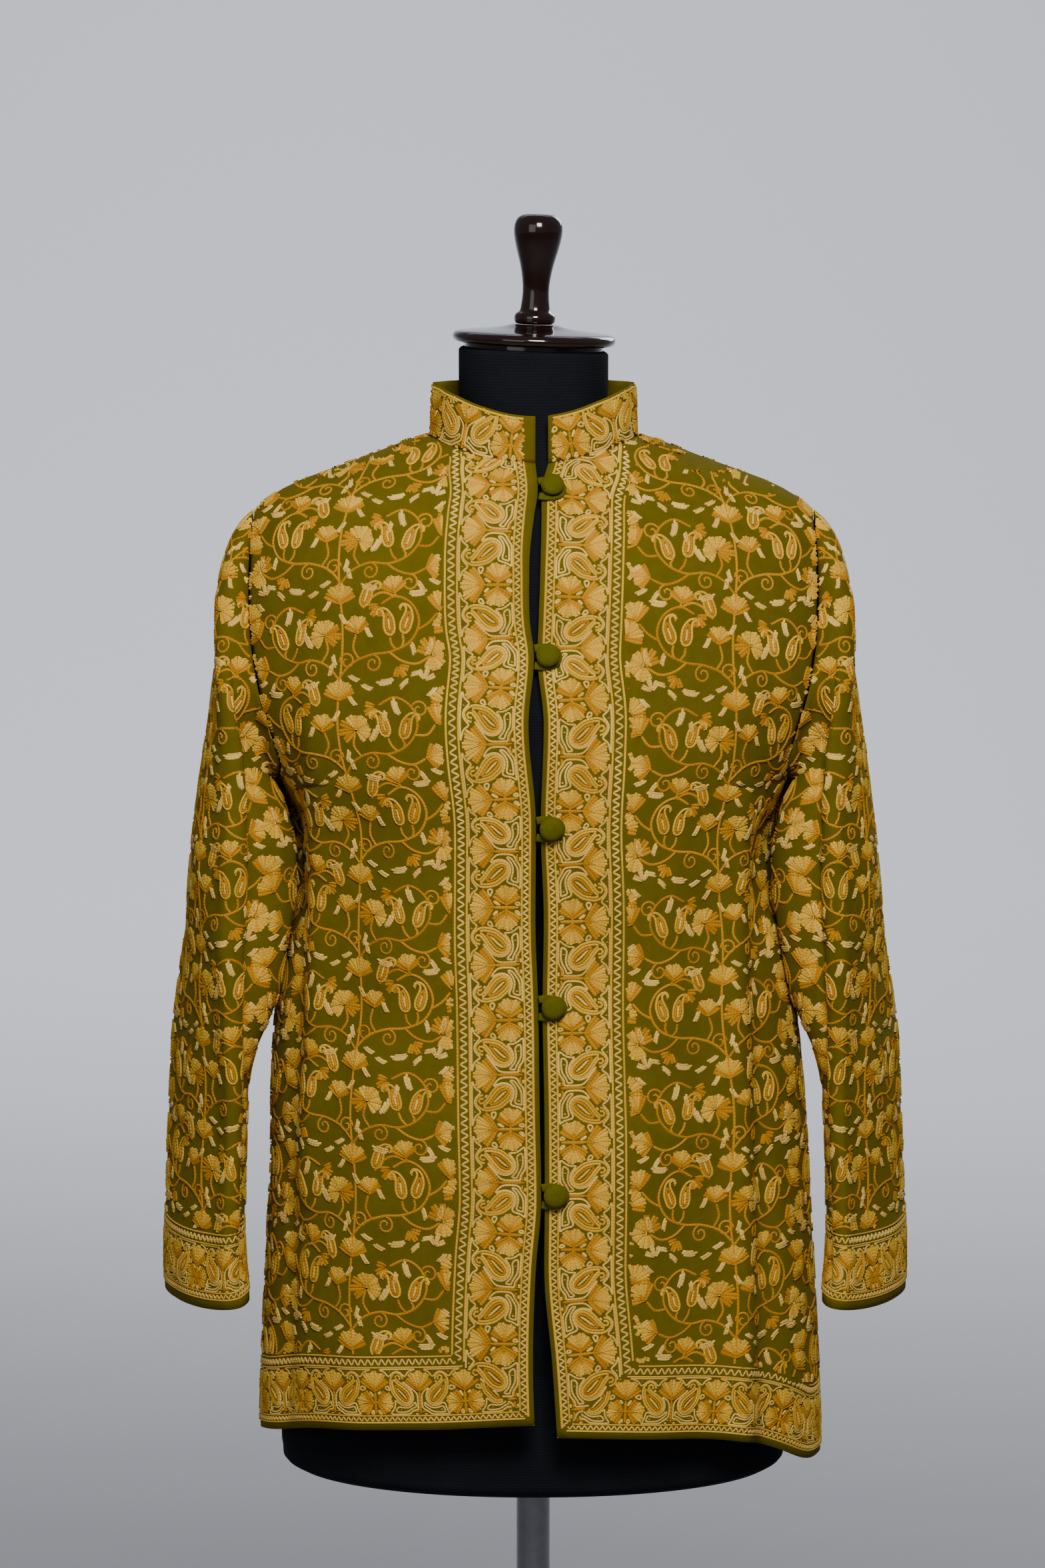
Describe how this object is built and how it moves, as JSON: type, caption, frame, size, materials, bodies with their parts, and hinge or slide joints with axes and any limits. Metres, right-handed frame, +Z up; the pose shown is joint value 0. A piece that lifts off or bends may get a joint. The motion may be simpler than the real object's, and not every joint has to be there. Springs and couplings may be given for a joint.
{
  "type": "embroidered stand collar jacket on dress form",
  "caption": "Hip length wool jacket with stand collar, set-in sleeves, cloth buttons and floral chain stitch embroidery, on a limbless dress form with a turned cap, a pole and a round base.",
  "frame": {"origin": "centre of the base plate's underside, on the floor", "axes": "+Z up along the pole, the jacket's front towards -Y, the wearer's left at +X"},
  "size_m": [0.5534, 0.36, 1.601],
  "materials": {
    "embroidered_wool": "olive twill wool covered in gold, orange and cream chain stitch, matt with a soft thread sheen",
    "plain_wool": "olive twill wool, matt",
    "navy_jersey": "near black jersey stretched smooth, matt",
    "lacquered_wood": "turned wood, very dark red gloss lacquer",
    "chrome_tube": "polished",
    "black_enamel": "semi-gloss black enamel"
  },
  "bodies": {
    "root": {"front_right": "embroidered_wool", "front_left": "embroidered_wool", "back": "embroidered_wool", "sleeve_right": "embroidered_wool", "sleeve_left": "embroidered_wool", "collar": "embroidered_wool", "button_1": "plain_wool", "button_2": "plain_wool", "button_3": "plain_wool", "button_4": "plain_wool", "button_5": "plain_wool", "loop_1": "plain_wool", "loop_2": "plain_wool", "loop_3": "plain_wool", "loop_4": "plain_wool", "loop_5": "plain_wool", "form_torso": "navy_jersey", "neck_cap": "lacquered_wood", "finial": "lacquered_wood", "pole": "chrome_tube", "pole_hub": "black_enamel", "base_plate": "black_enamel"}
  },
  "joints": []
}
